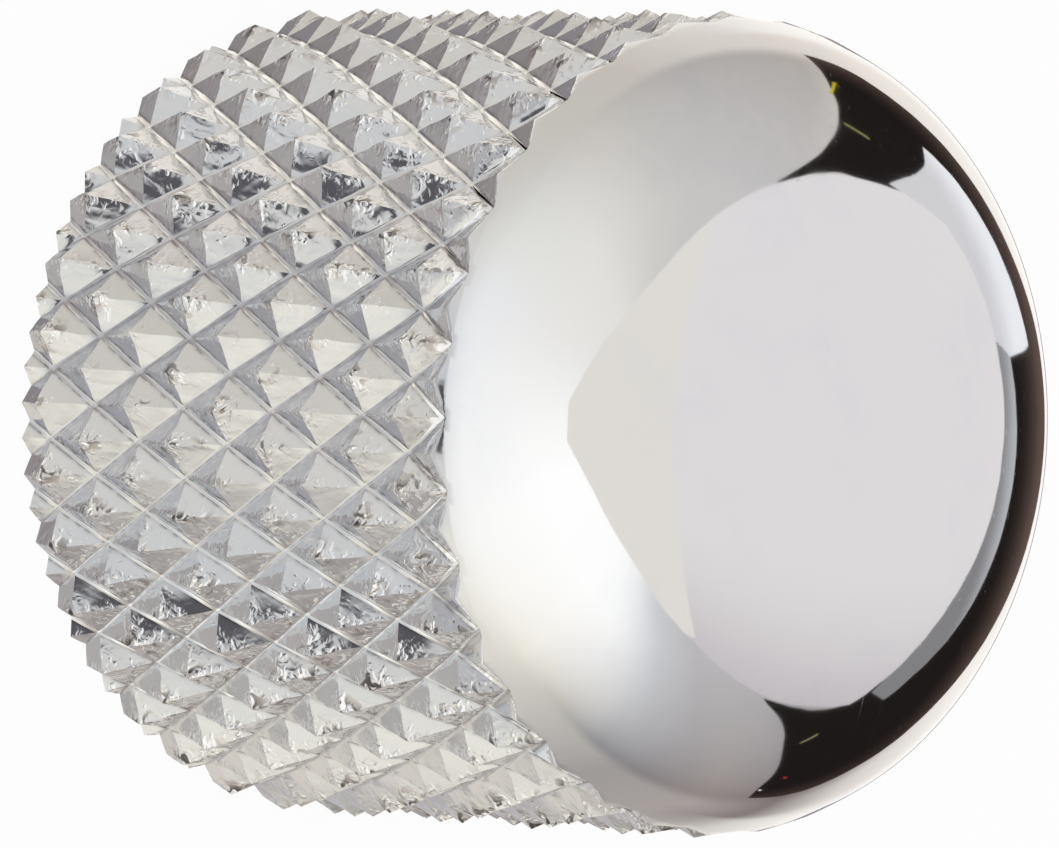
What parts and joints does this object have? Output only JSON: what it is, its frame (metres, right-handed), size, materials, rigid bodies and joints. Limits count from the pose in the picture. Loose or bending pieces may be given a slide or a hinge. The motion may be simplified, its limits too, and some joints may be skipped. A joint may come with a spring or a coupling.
{
  "type": "guitar dome knob",
  "caption": "Domed control knob with a diamond-knurled barrel, a blind bore that slides over a round control shaft, and a grub screw in its side that locks it.",
  "frame": {"origin": "centre of the flat underside that the knob stands on", "axes": "+Z along the control shaft, towards the crown of the dome; +Y out through the grub screw's hole"},
  "size_m": [0.019, 0.019, 0.0186],
  "materials": {
    "chrome_plating": "bright chrome plating over brass, dulled and pitted along the ridges of the knurl",
    "screw_steel": "black oxide on steel"
  },
  "bodies": {
    "root": {"knob_body": "chrome_plating", "set_screw": "screw_steel"}
  },
  "joints": []
}
